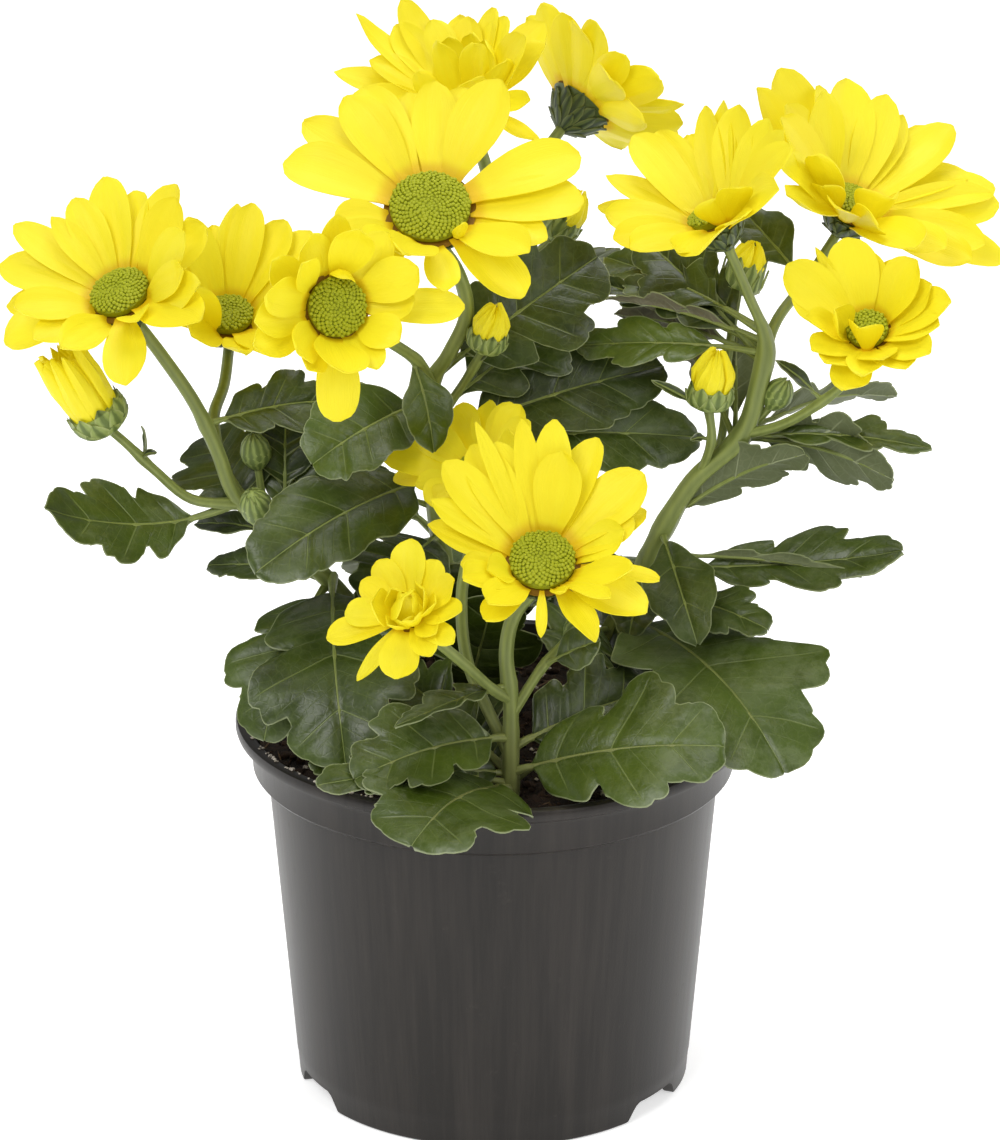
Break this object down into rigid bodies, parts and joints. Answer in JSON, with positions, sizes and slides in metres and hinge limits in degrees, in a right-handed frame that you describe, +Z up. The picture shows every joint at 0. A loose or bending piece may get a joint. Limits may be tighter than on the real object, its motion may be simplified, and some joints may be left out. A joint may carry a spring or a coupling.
{
  "type": "pot chrysanthemum",
  "caption": "Potted flowering plant: daisy-like yellow blooms with green discs on leafy branched stems, growing in a round black nursery pot.",
  "frame": {"origin": "on the surface that the pot stands on, under the middle of the whole plant's outline; the pot's axis is 2 mm to the left of it and 3 mm in front", "axes": "+Z up along the pot's axis; -Y towards the viewer of the picture, +X to the viewer's right"},
  "size_m": [0.2288, 0.1718, 0.2486],
  "materials": {
    "pot": "satin",
    "peat": "matte",
    "leaf": "satin",
    "petal": "matte",
    "disc": "matte"
  },
  "bodies": {
    "root": {"bud_back": "petal", "bud_centre": "petal", "bud_left": "petal", "bud_right": "petal", "bud_right_back": "petal", "disc_far_left": "disc", "disc_front": "disc", "disc_front_back": "disc", "disc_front_small": "disc", "disc_large": "disc", "disc_left_back": "disc", "disc_left_near": "disc", "disc_right_inner": "disc", "disc_right_low": "disc", "disc_right_outer": "disc", "disc_top": "disc", "disc_top_right": "disc", "pot": "pot", "rays_far_left": "petal", "rays_front": "petal", "rays_front_back": "petal", "rays_front_small": "petal", "rays_large": "petal", "rays_left_back": "petal", "rays_left_near": "petal", "rays_right_inner": "petal", "rays_right_low": "petal", "rays_right_outer": "petal", "rays_top": "petal", "rays_top_right": "petal", "soil": "peat", "stem_back": "leaf", "stem_centre": "leaf", "stem_front": "leaf", "stem_left": "leaf", "stem_right": "leaf"}
  },
  "joints": []
}
